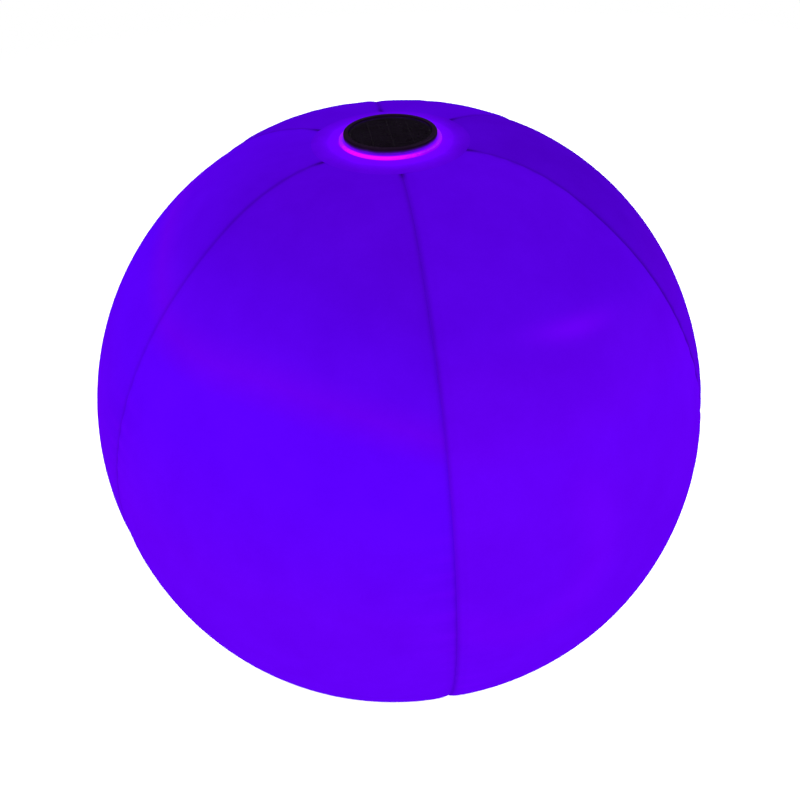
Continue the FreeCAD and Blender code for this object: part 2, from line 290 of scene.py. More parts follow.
def bump(tree, shader, height, depth, strength=1.0):
    node = add(tree, "Bump", {"Height": height, "Distance": depth, "Strength": strength})
    tree.links.new(node.outputs["Normal"], shader.inputs["Normal"])


def wireSurface(tree, shader, out, depth, strength):
    # a shared effect's colour, roughness and fine relief go to the shader
    wire(tree, out["Colour"], shader, "Base Color")
    wire(tree, out["Roughness"], shader, "Roughness")
    bump(tree, shader, out["Height"], depth, strength)


def setWorld():
    # the room is dim as a light, and white where it is looked at directly
    world = bpy.data.worlds.new("studioWorld")
    world.use_nodes = True
    tree = world.node_tree
    seen = add(tree, "LightPath").outputs["Is Camera Ray"]
    strength = fade(tree, seen, 0.0, 1.0, studio["worldLight"], studio["worldSeen"], "LINEAR")
    connect(tree, tree.nodes["Background"], {"Color": (1, 1, 1, 1), "Strength": strength})
    bpy.context.scene.world = world


setWorld()


# shared effects

def makeMouldedGroup():
    # colour = the given dye (on the housing's shoulder, painted shade), paler and darker by broad cloudiness;
    # roughness and height from fine grain
    takes = {"Point": "Vector", "DyeAndShade": "Color", "Cloud": "Float", "Grain": "Float"}
    gives = {"Colour": "Color", "Roughness": "Float", "Height": "Float"}
    tree, source, sink = newGroup("mouldedPlastic", takes, gives)
    cloud = noise(tree, source["Point"], 160.0, 3.0)
    level = calc(tree, "ADD", 1.0, swing(tree, cloud, source["Cloud"]))
    tree.links.new(scaled(tree, source["DyeAndShade"], level), sink["Colour"])
    grain = noise(tree, source["Point"], 2600.0, 2.0, 0.6)
    smudge = noise(tree, source["Point"], 420.0, 4.0, 0.65)
    tree.links.new(calc(tree, "ADD", source["Grain"], swing(tree, smudge, 0.22)), sink["Roughness"])
    tree.links.new(grain, sink["Height"])
    return tree


def makeFilmGroup():
    # light = a colour for the height, more or less cool, times level, mottling and the seam's shade
    takes = {"Point": "Vector", "SeamGap": "Float", "SeamDepth": "Float", "Cool": "Float",
             "Level": "Float", "Gleam": "Float", "Lift": "Float"}
    gives = {"Light": "Color", "Colour": "Color", "Roughness": "Float", "Height": "Float"}
    tree, source, sink = newGroup("litFilm", takes, gives)
    point, gap = source["Point"], source["SeamGap"]
    z = part(tree, point, "Z")
    height = fade(tree, z, centreZ - ballRadius, centreZ + ballRadius, -1.0, 1.0, "LINEAR")
    drift = swing(tree, noise(tree, point, film["driftScale"]), film["drift"])
    height = calc(tree, "ADD", calc(tree, "ADD", height, source["Lift"]), drift)
    share = fade(tree, height, -1.0, 1.0, kind="LINEAR")
    warm, cool = (ramp(tree, share, [((h + 1) / 2, display(*colour)) for h, colour in film[key]])
                  for key in ("warmLight", "coolLight"))
    light = mix(tree, source["Cool"], warm, cool)
    gleamLean = calc(tree, "MULTIPLY", source["Gleam"], film["gleamLightLean"], clamp=True)
    light = mix(tree, gleamLean, light, display(*film["gleamLightColour"]))
    mottle = calc(tree, "SUBTRACT", noise(tree, point, film["mottleScale"], 4.0, 0.6), 0.5)
    level = calc(tree, "ADD", source["Level"], calc(tree, "MULTIPLY", mottle, film["mottle"]))
    level = calc(tree, "ADD", level, calc(tree, "MULTIPLY", source["Gleam"], film["gleam"]))
    emboss = noise(tree, point, 900.0, 3.0, 0.5)
    level = calc(tree, "ADD", level, swing(tree, emboss, film["embossShade"]))
    steps = calc(tree, "POWER", calc(tree, "DIVIDE", gap, film["lineWidth"]), 2.0)
    line = calc(tree, "EXPONENT", calc(tree, "MULTIPLY", steps, -1.0))
    lineShade = calc(tree, "MULTIPLY", line, source["SeamDepth"])
    weld = fade(tree, gap, film["weldWidth"] * 0.8, film["weldWidth"] * 1.1, film["weldShade"], 0.0)
    shade = calc(tree, "SUBTRACT", 1.0, calc(tree, "ADD", lineShade, weld))
    level = calc(tree, "MULTIPLY", level, shade)
    lit = scaled(tree, light, level)
    tree.links.new(lit, sink["Light"])
    dyeAndShade = mix(tree, fade(tree, mottle, -0.3, 0.3), display(*film["dyeDark"]), display(*film["dyePale"]))
    tree.links.new(dyeAndShade, sink["Colour"])
    scuff = noise(tree, point, 210.0, 5.0, 0.7)
    tree.links.new(fade(tree, scuff, 0.3, 0.75, 0.26, 0.44), sink["Roughness"])
    tree.links.new(emboss, sink["Height"])
    return tree


film = {
    "warmLight": [             # height from -1 at the foot to 1 at the top, and the light there
        (-1.0, (94, 0, 239)), (-0.3, (95, 0, 243)), (0.1, (97, 0, 244)), (0.46, (96, 0, 241)),
        (0.58, (96, 0, 243)), (0.63, (96, 0, 238)), (0.68, (92, 0, 230)), (0.74, (87, 0, 224)),
        (0.80, (82, 0, 219)), (0.90, (79, 0, 212)), (0.95, (79, 0, 211))],
    "coolLight": [
        (-1.0, (92, 0, 240)), (-0.3, (95, 0, 242)), (0.32, (96, 0, 241)), (0.48, (91, 0, 245)),
        (0.60, (88, 0, 250)), (0.685, (88, 0, 249)), (0.735, (97, 0, 236)), (0.78, (86, 0, 232)),
        (0.84, (81, 0, 224)), (0.90, (77, 0, 210)), (0.96, (77, 0, 205))],
    "driftScale": 9.0,
    "drift": 0.05,
    "mottleScale": 34.0,
    "mottle": 0.045,
    "embossShade": 0.06,       # the film's fine grain, seen in its light
    "gleam": 0.04,
    "gleamLightLean": 0.45,        # the gleams' painted light leans this much towards gleamLightColour
    # the colour of the painted light in the gleams
    "gleamLightColour": (116, 0, 250),
    "lineWidth": 0.00135,
    "weldWidth": 0.005,
    "weldShade": 0.02,
    "dyeDark": (22, 0, 66),
    "dyePale": (28, 1, 80),
}
mouldedGroup = makeMouldedGroup()
filmGroup = makeFilmGroup()
print("shared effects made")


# mesh helpers

def makeObject(name, points, faceArrays, body=None, smooth=True):
    # points and arrays of faces become one mesh object; with a body it rides on it
    mesh = bpy.data.meshes.new(name)
    faces = [face for array in faceArrays for face in array.tolist()]
    mesh.from_pydata(np.asarray(points, float).reshape(-1, 3), [], faces)
    mesh.polygons.foreach_set("use_smooth", np.full(len(mesh.polygons), smooth))
    piece = bpy.data.objects.new(name, mesh)
    bpy.context.scene.collection.objects.link(piece)
    if body:
        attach(piece, body)
    return piece


def gridQuads(rows, columns, wrap=False):
    # faces of a grid numbered row by row, facing out when rows go down and columns go anticlockwise
    index = np.arange(rows * columns).reshape(rows, columns)
    if wrap:
        index = np.hstack([index, index[:, :1]])
    corners = index[:-1, :-1], index[1:, :-1], index[1:, 1:], index[:-1, 1:]
    return np.stack(corners, axis=-1).reshape(-1, 4)


def fanFaces(loop, middle):
    # triangles from one point to a closed loop of points
    return np.stack([np.full(len(loop), middle), np.roll(loop, -1), loop], axis=-1)


def pointAttribute(piece, name, values):
    layer = piece.data.attributes.new(name, "FLOAT", "POINT")
    layer.data.foreach_set("value", np.asarray(values, np.float32).ravel())


def thicken(piece, thickness):
    # gives an open skin its film thickness, inwards
    solid = piece.modifiers.new("filmThickness", "SOLIDIFY")
    solid.thickness = thickness
    solid.offset = -1
    solid.use_even_offset = False


def smoothStep(low, high, value):
    t = np.clip((value - low) / (high - low), 0, 1)
    return t * t * (3 - 2 * t)


def bell(value, width):
    return np.exp(-(value / width) ** 2)


# the film ball

ball = {
    "tipHidden": 0.0016,       # how far each gore runs in under the end patches
    "across": 76,              # columns over one gore
    "along": 360,              # rows from tip to tip
    "seamCrowding": 0.84,      # how much the columns crowd towards the seams
    "tipCrowding": 0.5,        # how much the rows crowd towards the tips
    "crown": 0.0010,           # how far a gore stands proud between its seams
    "crease": 0.0010,          # depth of the valley at a seam
    "creaseWidth": 0.0034,
    "tipFlat": 0.010,          # all relief fades out over this far from the end patches
    "tipEase": 0.085,          # crown and crease fade out over this far from the end patches
    "lapStep": 0.0002,         # the upper film's edge stands over the lower film's
    "lapStepWidth": 0.0016,
    "pucker": 0.00036,         # height of the small cross puckers beside a seam
    "puckerReach": 0.013,
    "puckerPitch": 0.0105,
    "puckerStart": 0.0016,     # a seam's own line lies flat
    "puckerGleam": 0.35,       # how much the puckers show in the light
    "puckerTop": (0.45, 0.68), # above these heights, in ball radii, they stop showing
    "pleat": 0.00040,          # height of the pleats that fan out from the end patches
    "pleatReach": 0.026,
    "unevenness": 0.0005,
    "calmInside": 0.018,       # the film lies true this near to the valve's axis
    "calmOutside": 0.032,
    "weldPadRadius": 0.0130,   # the valve's flange shows through the film as a faint round step
    "weldPadStep": 0.0002,
    "padShade": 0.10,          # it dims the light a little, and more in a line along its edge and the stem's
    "padLine": 0.16,
    "padEase": 0.0006,
    "padLineWidth": 0.0007,
    "stemLineRadius": 0.0058,
    "stemLineWidth": 0.0006,
    "seed": 11,
    "cool": (0.10, 0.05, 0.40, 0.50, 1.00, 1.00),     # how blue the light is in each gore
    "level": (1.0, 0.74, 0.93, 0.94, 0.96, 1.0),      # how bright it is in the upper part
    "levelFrom": (0.1, 0.7),   # the upper part sets in between these heights, in ball radii
    "lift": (0.0, 0.0, 0.0, -0.05, -0.10, 0.0),       # how far the darker zone is moved, in ball radii
    "seamDip": 0.085,          # the darker zone reaches lower beside each gore's far seam
    "seamDipReach": 0.035,
    "seamDark": (0.26, 0.36, 0.30, 0.28, 0.30, 0.30), # darkness of the line at each gore's first seam
    "seamStart": 0.52,         # extra dark where a seam comes out from under a patch
    "seamStartLength": 0.0042,
}
rng = np.random.default_rng(ball["seed"])
puckerPhase = rng.uniform(0, 2 * np.pi, (goreCount, 2, 4))
pleatPhase = rng.uniform(0, 2 * np.pi, (2, 3))
wavePhase = rng.uniform(0, 2 * np.pi, 6)
shoulderRun = bendRadius * shoulderAngle
outlineLength = 2 * ball["tipHidden"] + 2 * shoulderRun + ballRadius * (math.pi - 2 * shoulderAngle)


def outline(run):
    # run 0 is the tip's hidden edge; gives radius, height and the outward normal's two parts at each run
    flat = ball["tipHidden"]
    lower = run > outlineLength / 2
    near = np.where(lower, outlineLength - run, run)
    onFlat = near < flat
    onBend = (near >= flat) & (near < flat + shoulderRun)
    bendTurn = np.clip((near - flat) / bendRadius, 0, shoulderAngle)
    roundTurn = shoulderAngle + np.clip((near - flat - shoulderRun) / ballRadius, 0, None)
    turn = np.where(onFlat, 0, np.where(onBend, bendTurn, roundTurn))
    bendX = patchRadius + bendRadius * np.sin(turn)
    bendZ = halfHeight - bendRadius + bendRadius * np.cos(turn)
    x = np.where(onFlat, patchRadius - flat + near, np.where(onBend, bendX, ballRadius * np.sin(turn)))
    z = np.where(onFlat, halfHeight, np.where(onBend, bendZ, ballRadius * np.cos(turn)))
    side = np.where(lower, -1, 1)
    return x, centreZ + side * z, np.sin(turn), side * np.cos(turn)


def puckers(run, side, seam):
    # cross ripples along a seam, whose pitch wanders and whose strength comes and goes
    phase = puckerPhase[seam % goreCount, side]
    wander = 1.7 * np.sin(2 * np.pi * run / 0.061 + phase[0])
    ripple = np.sin(2 * np.pi * run / ball["puckerPitch"] + wander + phase[1])
    strength = 0.5 + 0.5 * np.sin(2 * np.pi * run / 0.17 + phase[2])
    return ripple * (0.2 + strength ** 2)


def pleats(azimuth, end):
    # three rounds of waves fan out from an end patch
    phase = pleatPhase[end]
    return (np.sin(31 * azimuth + phase[0]) + 0.7 * np.sin(43 * azimuth + phase[1])
            + 0.5 * np.sin(19 * azimuth + phase[2])) / 2.2


def unevenness(azimuth, radius, z):
    # slow swells over the whole ball
    x, y = np.cos(azimuth) * radius / ballRadius, np.sin(azimuth) * radius / ballRadius
    h = (z - centreZ) / ballRadius
    swell = np.sin(5 * x + 3 * h + wavePhase[0]) + np.sin(4 * y - 5 * h + wavePhase[1])
    return (swell + np.sin(7 * h + 4 * x * y + wavePhase[2])) / 3


def goreSurface(azimuth, run, gore):
    # place = outline + normal * (crown - crease +- lap step + puckers + pleats + swells),
    # which fade out towards the patches
    start = firstSeam + gore * goreTurn
    radius, z, normalX, normalZ = outline(run)
    share = (azimuth - start) / goreTurn
    nearGap = radius * (azimuth - start)
    farGap = radius * (start + goreTurn - azimuth)
    gap = np.minimum(nearGap, farGap)
    fromTop = np.maximum(run - ball["tipHidden"], 0)
    fromFoot = np.maximum(outlineLength - run - ball["tipHidden"], 0)
    fromTip = np.minimum(fromTop, fromFoot)
    height = ball["crown"] * (0.3 - (2 * share - 1) ** 2)
    height = height - ball["crease"] * np.exp(-gap / ball["creaseWidth"])
    height = height * smoothStep(0, ball["tipEase"], fromTip)
    lap = np.exp(-nearGap / ball["lapStepWidth"]) - np.exp(-farGap / ball["lapStepWidth"])
    height = height + ball["lapStep"] * lap * smoothStep(0, ball["tipEase"], fromTip)
    ripple = puckers(run, 0, gore) * np.exp(-nearGap / ball["puckerReach"])
    ripple = ripple + puckers(run, 1, gore + 1) * np.exp(-farGap / ball["puckerReach"])
    height = height + ball["pucker"] * ripple * (1 - np.exp(-gap / ball["puckerStart"]))
    fan = pleats(azimuth, 0) * np.exp(-fromTop / ball["pleatReach"])
    fan = fan + pleats(azimuth, 1) * np.exp(-fromFoot / ball["pleatReach"])
    height = height + ball["pleat"] * fan + ball["unevenness"] * unevenness(azimuth, radius, z)
    height = height * smoothStep(0, ball["tipFlat"], fromTip)
    plain = np.stack([radius * np.cos(azimuth), radius * np.sin(azimuth), z - centreZ], axis=-1)
    along = plain @ valveAxis
    offAxis = np.linalg.norm(plain - along[..., None] * valveAxis, axis=-1) + (along < 0)
    height = height * smoothStep(ball["calmInside"], ball["calmOutside"], offAxis)
    pad = ball["weldPadRadius"]
    height = height + ball["weldPadStep"] * (1 - smoothStep(pad - 0.0004, pad + 0.0009, offAxis))
    reach = radius + height * normalX
    points = np.stack([reach * np.cos(azimuth), reach * np.sin(azimuth), z + height * normalZ], axis=-1)
    return points, nearGap, farGap, fromTip, ripple, offAxis


valveSeat = {
    "opening": 0.0053,         # radius of the round hole for the valve's stem
    "blockAcross": 5,          # columns and rows of the grid given over to the ring of faces round it
    "blockAlong": 10,
    "rings": 24,
}


def cutRound(points, quads, azimuth, run, gore):
    # swaps a block of the grid for rings that go from the block's edge to a circle round the valve's axis
    fromCentre = points - np.array([0, 0, centreZ])
    offAxis = np.linalg.norm(fromCentre - (fromCentre @ valveAxis)[..., None] * valveAxis, axis=-1)
    row, column = np.unravel_index(np.argmin(offAxis), azimuth.shape)
    top, foot = row - valveSeat["blockAlong"], row + valveSeat["blockAlong"]
    left, right = column - valveSeat["blockAcross"], column + valveSeat["blockAcross"]
    index = np.arange(azimuth.size).reshape(azimuth.shape)
    loop = np.concatenate([index[top, left:right], index[top:foot, right],
                           index[foot, right:left:-1], index[foot:top:-1, left]])
    rows, columns = np.unravel_index(quads.min(axis=1), azimuth.shape)
    quads = quads[~((rows >= top) & (rows < foot) & (columns >= left) & (columns < right))]
    polar = math.acos(valveAxis[2])
    middleRun = ball["tipHidden"] + shoulderRun + ballRadius * (polar - shoulderAngle)
    middle, wide = math.atan2(valveAxis[1], valveAxis[0]), ballRadius * math.sin(polar)
    edgeAzimuth, edgeRun = azimuth.ravel()[loop], run.ravel()[loop]
    heading = np.arctan2(edgeRun - middleRun, (edgeAzimuth - middle) * wide)
    circleAzimuth = middle + valveSeat["opening"] * np.cos(heading) / wide
    circleRun = middleRun + valveSeat["opening"] * np.sin(heading)
    share = np.linspace(0, 1, valveSeat["rings"] + 1)[:-1, None]
    ringAzimuth = circleAzimuth * (1 - share) + edgeAzimuth * share
    ringRun = circleRun * (1 - share) + edgeRun * share
    ringIndex = np.vstack([azimuth.size + np.arange(ringAzimuth.size).reshape(ringAzimuth.shape), loop])
    ringIndex = np.hstack([ringIndex, ringIndex[:, :1]])
    corners = ringIndex[:-1, :-1], ringIndex[:-1, 1:], ringIndex[1:, 1:], ringIndex[1:, :-1]
    quads = np.vstack([quads, np.stack(corners, axis=-1).reshape(-1, 4)])
    azimuth = np.concatenate([azimuth.ravel(), ringAzimuth.ravel()])
    run = np.concatenate([run.ravel(), ringRun.ravel()])
    return quads, azimuth, run


gleams = [                     # faint arcs of light: azimuth and height of the middle, radius, open side
    {"azimuth": -80.0, "height": 0.39, "radius": 0.19, "open": 128.0, "width": 0.06, "strength": 0.45},
    {"azimuth": -122.0, "height": 0.37, "radius": 0.22, "open": 80.0, "width": 0.06, "strength": 0.35},
    {"azimuth": -18.0, "height": 0.30, "radius": 0.23, "open": 90.0, "width": 0.06, "strength": 0.35},
    {"azimuth": 44.0, "height": 0.34, "radius": 0.22, "open": 100.0, "width": 0.06, "strength": 0.35},
    {"azimuth": 101.0, "height": 0.31, "radius": 0.24, "open": 85.0, "width": 0.06, "strength": 0.35},
    {"azimuth": 161.0, "height": 0.35, "radius": 0.23, "open": 90.0, "width": 0.06, "strength": 0.35},
]
paintedReflections = [                    # short straight painted reflections on the film: azimuth and height of the middle, half length, slope
    {"azimuth": -62.0, "height": 0.762, "length": 0.10, "slope": 0.12, "width": 0.017, "strength": 1.0},
]


def gleamOf(azimuth, z):
    # how strongly the painted arcs of light and the painted reflection streaks show, in flat coordinates
    # round each one's middle
    h = (z - centreZ) / ballRadius
    girth = np.sqrt(np.clip(1 - h * h, 0, 1))
    total = np.zeros(azimuth.shape)
    for arc in gleams:
        across = (azimuth - math.radians(arc["azimuth"])) * girth
        rise = h - arc["height"]
        heading = np.degrees(np.arctan2(rise, across))
        turned = np.abs((heading - arc["open"] + 180) % 360 - 180)
        rim = bell(np.hypot(across, rise) - arc["radius"], arc["width"])
        total = total + arc["strength"] * rim * smoothStep(55, 110, turned)
    # each streak is a painted reflection on a wrinkle of the film
    for streak in paintedReflections:
        across = (azimuth - math.radians(streak["azimuth"])) * girth
        rise = h - streak["height"] + streak["slope"] * across
        total = total + streak["strength"] * bell(across, streak["length"]) * bell(rise, streak["width"])
    return total


def buildGore(gore):
    start = firstSeam + gore * goreTurn
    t = np.linspace(0, 1, ball["across"])
    share = t - ball["seamCrowding"] * np.sin(2 * np.pi * t) / (2 * np.pi)
    t = np.linspace(0, 1, ball["along"])
    way = t - ball["tipCrowding"] * np.sin(2 * np.pi * t) / (2 * np.pi)
    azimuth, run = np.meshgrid(start + goreTurn * share, outlineLength * way)
    quads = gridQuads(ball["along"], ball["across"])
    valveAzimuth = math.atan2(valveAxis[1], valveAxis[0])
    if start < valveAzimuth < start + goreTurn:
        points = goreSurface(azimuth, run, gore)[0]
        quads, azimuth, run = cutRound(points, quads, azimuth, run, gore)
    else:
        azimuth, run = azimuth.ravel(), run.ravel()
    used, quads = np.unique(quads, return_inverse=True)
    azimuth, run, quads = azimuth[used], run[used], quads.reshape(-1, 4)
    points, nearGap, farGap, fromTip, ripple, offAxis = goreSurface(azimuth, run, gore)
    piece = makeObject("goreSkin_" + str(gore + 1), points, [quads], "ball")
    ends = ball["seamDark"][gore], ball["seamDark"][(gore + 1) % goreCount]
    dark = np.where(nearGap < farGap, ends[0], ends[1])
    dark = dark * (0.85 + 0.25 * np.sin(2 * np.pi * run / 0.21 + wavePhase[gore]))
    dark = dark + ball["seamStart"] * bell(fromTip, ball["seamStartLength"])
    pointAttribute(piece, "seamGap", np.minimum(nearGap, farGap))
    pointAttribute(piece, "seamDepth", dark)
    pointAttribute(piece, "cool", np.full(len(points), ball["cool"][gore]))
    dip = ball["seamDip"] * np.exp(-farGap / ball["seamDipReach"])
    pointAttribute(piece, "lift", ball["lift"][gore] + dip)
    # the valve's flange holds back some light: an even shade inside its edge and lines along it and the stem
    pad, ease = ball["weldPadRadius"], ball["padEase"]
    shade = ball["padShade"] * (1 - smoothStep(pad - ease, pad + ease, offAxis))
    shade = shade + ball["padLine"] * bell(offAxis - pad, ball["padLineWidth"])
    shade = shade + ball["padLine"] * bell(offAxis - ball["stemLineRadius"], ball["stemLineWidth"])
    h = (points[:, 2] - centreZ) / ballRadius
    upper = smoothStep(*ball["levelFrom"], h)
    pointAttribute(piece, "level", 1 + (ball["level"][gore] - 1) * upper - shade)
    # the gleam attribute holds painted arcs of light, the painted reflection streak and the puckers' painted
    # light and shade
    low = 1 - smoothStep(*ball["puckerTop"], h)
    pointAttribute(piece, "gleam", gleamOf(azimuth, points[:, 2]) + ball["puckerGleam"] * ripple * low)
    thicken(piece, filmThickness)
    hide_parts(goreNames[gore])
    return piece


def makeFilmFinish():
    material, tree, shader = newFinish(
        "litVinylFilm", Specular_IOR_Level=filmFinish["gloss"], Emission_Strength=filmFinish["glow"])
    wires = {name[0].upper() + name[1:]: attribute(tree, name)
             for name in ("seamGap", "seamDepth", "cool", "level", "gleam", "lift")}
    out = useGroup(tree, filmGroup, {"Point": objectPoint(tree), **wires})
    wire(tree, out["Light"], shader, "Emission Color")
    wireSurface(tree, shader, out, filmFinish["emboss"], filmFinish["embossStrength"])
    return material


filmFinish = {
    "gloss": 0.0,              # the vinyl's own shine, which its light drowns
    "glow": 0.92,
    "emboss": 0.00006,
    "embossStrength": 0.35,
}
filmMaterial = makeFilmFinish()
gores = [buildGore(index) for index in range(goreCount)]
for piece in gores:
    piece.data.materials.append(filmMaterial)
print("gores made:", len(gores))


# the end patches

patch = {
    "hole": 0.0215,            # the cup stands in it
    "around": 288,
    "edgeDrop": 0.00022,       # the cut edge lies down on the gores
    "weldRadii": (0.0352, 0.0368),      # two raised rings where the patch is welded to the gores
    "weldWidth": 0.0005,
    "weldHeight": 0.00014,
    "flangeRadius": 0.0300,    # edge of the cup's welded flange, seen through the film
    "flangeStep": 0.00022,
    "ridge": 0.00030,          # the gores' laps lift the patch above them
    "ridgeWidth": 0.0022,
    "quiver": 0.00018,
    "haloLight": [             # distance from the axis, and the light there
        (0.0240, (176, 0, 250)), (0.0249, (116, 1, 253)), (0.0262, (111, 1, 253)), (0.0297, (107, 1, 251)),
        (0.0308, (97, 0, 237)), (0.0330, (91, 0, 224)), (0.0362, (85, 0, 212)), (0.0380, (82, 0, 208))],
    "footLight": [
        (0.0240, (99, 0, 248)), (0.0290, (98, 0, 247)), (0.0302, (96, 0, 242)), (0.0330, (97, 0, 245)),
        (0.0362, (95, 0, 241)), (0.0380, (93, 0, 238))],
}


def patchRelief(azimuth, radius, hasFlange):
    # height over the flat = weld rings + flange step + ridges over the laps + a slight quiver - edge drop
    relief = sum(bell(radius - ring, patch["weldWidth"]) for ring in patch["weldRadii"]) * patch["weldHeight"]
    toSeam = (azimuth - firstSeam + goreTurn / 2) % goreTurn - goreTurn / 2
    ridge = bell(radius * toSeam - patch["ridgeWidth"], patch["ridgeWidth"])
    relief = relief + patch["ridge"] * ridge * smoothStep(0.0335, 0.0352, radius)
    quiver = np.sin(7 * azimuth + 900 * radius) + np.sin(11 * azimuth - 700 * radius + 1.3)
    clear = smoothStep(0.0252, 0.0270, radius) if hasFlange else 1.0
    relief = relief + patch["quiver"] * (0.5 + 0.25 * quiver) * clear * (1 - smoothStep(0.034, 0.037, radius))
    if hasFlange:
        edge = patch["flangeRadius"]
        relief = relief - patch["flangeStep"] * smoothStep(edge - 0.0003, edge + 0.0006, radius) * 0.5
    return relief - patch["edgeDrop"] * np.exp(-(patchRadius - radius) / 0.0007)


def makePatchFinish(name, stops):
    material, tree, shader = newFinish(
        name, Specular_IOR_Level=filmFinish["gloss"], Emission_Strength=filmFinish["glow"])
    point = objectPoint(tree)
    low, high = stops[0][0], stops[-1][0]
    drift = swing(tree, noise(tree, point, 70.0), 0.0016)
    share = fade(tree, calc(tree, "ADD", fromAxis(tree, point), drift), low, high, kind="LINEAR")
    light = ramp(tree, share, [((r - low) / (high - low), display(*colour)) for r, colour in stops])
    # a little dimmer towards +X, where less of the halo is seen
    x = part(tree, point, "X")
    side = fade(tree, x, 0.022, 0.033, 1.0, 0.83)
    mottle = fade(tree, noise(tree, point, 150.0, 4.0, 0.6), 0.25, 0.75, 0.96, 1.04)
    level = calc(tree, "MULTIPLY", side, mottle)
    lit = scaled(tree, light, level)
    wire(tree, lit, shader, "Emission Color")
    out = useGroup(tree, filmGroup, {"Point": point, "SeamGap": 0.05, "Level": 1.0})
    wireSurface(tree, shader, out, filmFinish["emboss"], filmFinish["embossStrength"])
    return material


def patchGrid(inner, outer, count):
    # rings out to the edge, closer together where the flange's edge and the welds are
    radius = np.concatenate([np.linspace(inner, outer, count), np.linspace(0.0288, 0.0340, 18),
                             np.linspace(0.0342, patchRadius, 26)])
    azimuth = np.linspace(0, 2 * np.pi, patch["around"], endpoint=False)
    return np.meshgrid(radius, azimuth, indexing="ij")


def buildTopPatch():
    radius, azimuth = patchGrid(patch["hole"], 0.0285, 12)
    z = deckZ + patchRelief(azimuth, radius, True)
    points = np.stack([radius * np.cos(azimuth), radius * np.sin(azimuth), z], axis=-1)
    piece = makeObject("topPatchSkin", points, [gridQuads(*radius.shape, wrap=True)], "ball")
    thicken(piece, filmThickness)
    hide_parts("top_end_patch")
    piece.data.materials.append(makePatchFinish("litPatchFilm", patch["haloLight"]))


def buildFootPatch():
    # rings from a small circle out to the edge, closed at the middle by one point
    radius, azimuth = patchGrid(0.0012, 0.0284, 22)
    z = np.maximum(0.00035 - patchRelief(azimuth, radius, False), 0.0)
    points = np.stack([radius * np.cos(azimuth), radius * np.sin(azimuth), z], axis=-1).reshape(-1, 3)
    quads = gridQuads(*radius.shape, wrap=True)[:, ::-1]
    fan = fanFaces(np.arange(patch["around"]), len(points))
    points = np.vstack([points, [[0, 0, points[0, 2]]]])
    piece = makeObject("footPatchSkin", points, [quads, fan], "ball")
    thicken(piece, filmThickness)
    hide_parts("bottom_end_patch")
    piece.data.materials.append(makePatchFinish("litFootFilm", patch["footLight"]))


buildTopPatch()
buildFootPatch()
print("end patches made")


# the stopper's strap

valveDown = np.array([-valveAxis[0] * valveAxis[2], -valveAxis[1] * valveAxis[2], 1 - valveAxis[2] ** 2])
valveDown = -valveDown / np.linalg.norm(valveDown)          # along the film, towards the foot of the ball
valveSide = np.cross(valveAxis, valveDown)
ballCentre = np.array([0, 0, centreZ])

strap = {
    "route": [                 # mm down the ball from the valve's axis, and out from the ball's centre
        (5.9, 192.30), (7.6, 192.42), (9.4, 192.45), (10.9, 192.10), (11.55, 191.20),
        (11.95, 190.40), (12.7, 190.00), (13.6, 189.86), (14.7, 189.76), (15.6, 189.68), (16.15, 189.64),
        (16.40, 189.62)],
    "halfWidths": (1.5, 1.45, 1.4, 1.45, 1.5, 1.65, 2.0, 2.3, 2.35, 2.0, 1.3, 0.55),
    "halfThick": (0.40, 0.36, 0.32, 0.32, 0.34, 0.34, 0.31, 0.28, 0.25, 0.22, 0.20, 0.18),
    "along": 110,
    "around": 28,
    "squareness": 4.0,
    "blendStart": (0.0120, 0.1900),      # it bends between these two places, in metres
    "blendEnd": (0.0064, 0.1923),
}


def spline(points, count):
    # a Catmull-Rom curve through the points: each span blends its two ends and their neighbours' slopes
    points = np.asarray(points, float)
    padded = np.vstack([2 * points[0] - points[1], points, 2 * points[-1] - points[-2]])
    t = np.linspace(0, len(points) - 1, count)
    span = np.minimum(t.astype(int), len(points) - 2)
    u = (t - span)[:, None]
    a, b, c, d = (padded[span + shift] for shift in range(4))
    return 0.5 * (2 * b + (c - a) * u + (2 * a - 5 * b + 4 * c - d) * u ** 2
                  + (3 * b - a - 3 * c + d) * u ** 3)


def besideValve(down, away):
    return ballCentre + down * valveDown + away * valveAxis


def buildStrap():
    # a rounded-off rectangle carried along the route, its ends closed by fans
    data = np.column_stack([strap["route"], strap["halfWidths"], strap["halfThick"]])
    curve = spline(data, strap["along"]) / 1000
    path, width, thick = curve[:, :2], curve[:, 2:3], curve[:, 3:4]
    ahead = np.gradient(path, axis=0)
    ahead = ahead / np.linalg.norm(ahead, axis=1, keepdims=True)
    out = np.stack([-ahead[:, 1], ahead[:, 0]], axis=1)
    angle = np.linspace(0, 2 * np.pi, strap["around"], endpoint=False)
    power = 2 / strap["squareness"]
    across = np.sign(np.cos(angle)) * np.abs(np.cos(angle)) ** power * width
    rise = np.sign(np.sin(angle)) * np.abs(np.sin(angle)) ** power * thick
    down = path[:, :1] + rise * out[:, :1]
    away = path[:, 1:] + rise * out[:, 1:]
    points = besideValve(down[..., None], away[..., None]) + across[..., None] * valveSide
    rows, columns = down.shape
    quads = gridQuads(rows, columns, wrap=True)[:, ::-1]
    ends = np.stack([points[0].mean(axis=0), points[-1].mean(axis=0)])
    index = np.arange(rows * columns).reshape(rows, columns)
    fans = [fanFaces(index[0], index.size), fanFaces(index[-1][::-1], index.size + 1)]
    points = np.vstack([points.reshape(-1, 3), ends])
    piece = makeObject("stopperStrap", points, [quads, *fans])
    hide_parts("stopper_strap")
    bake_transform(piece)
    return piece


strapPiece = buildStrap()
print("strap made")


# finishes of the moulded, cast and fitted pieces

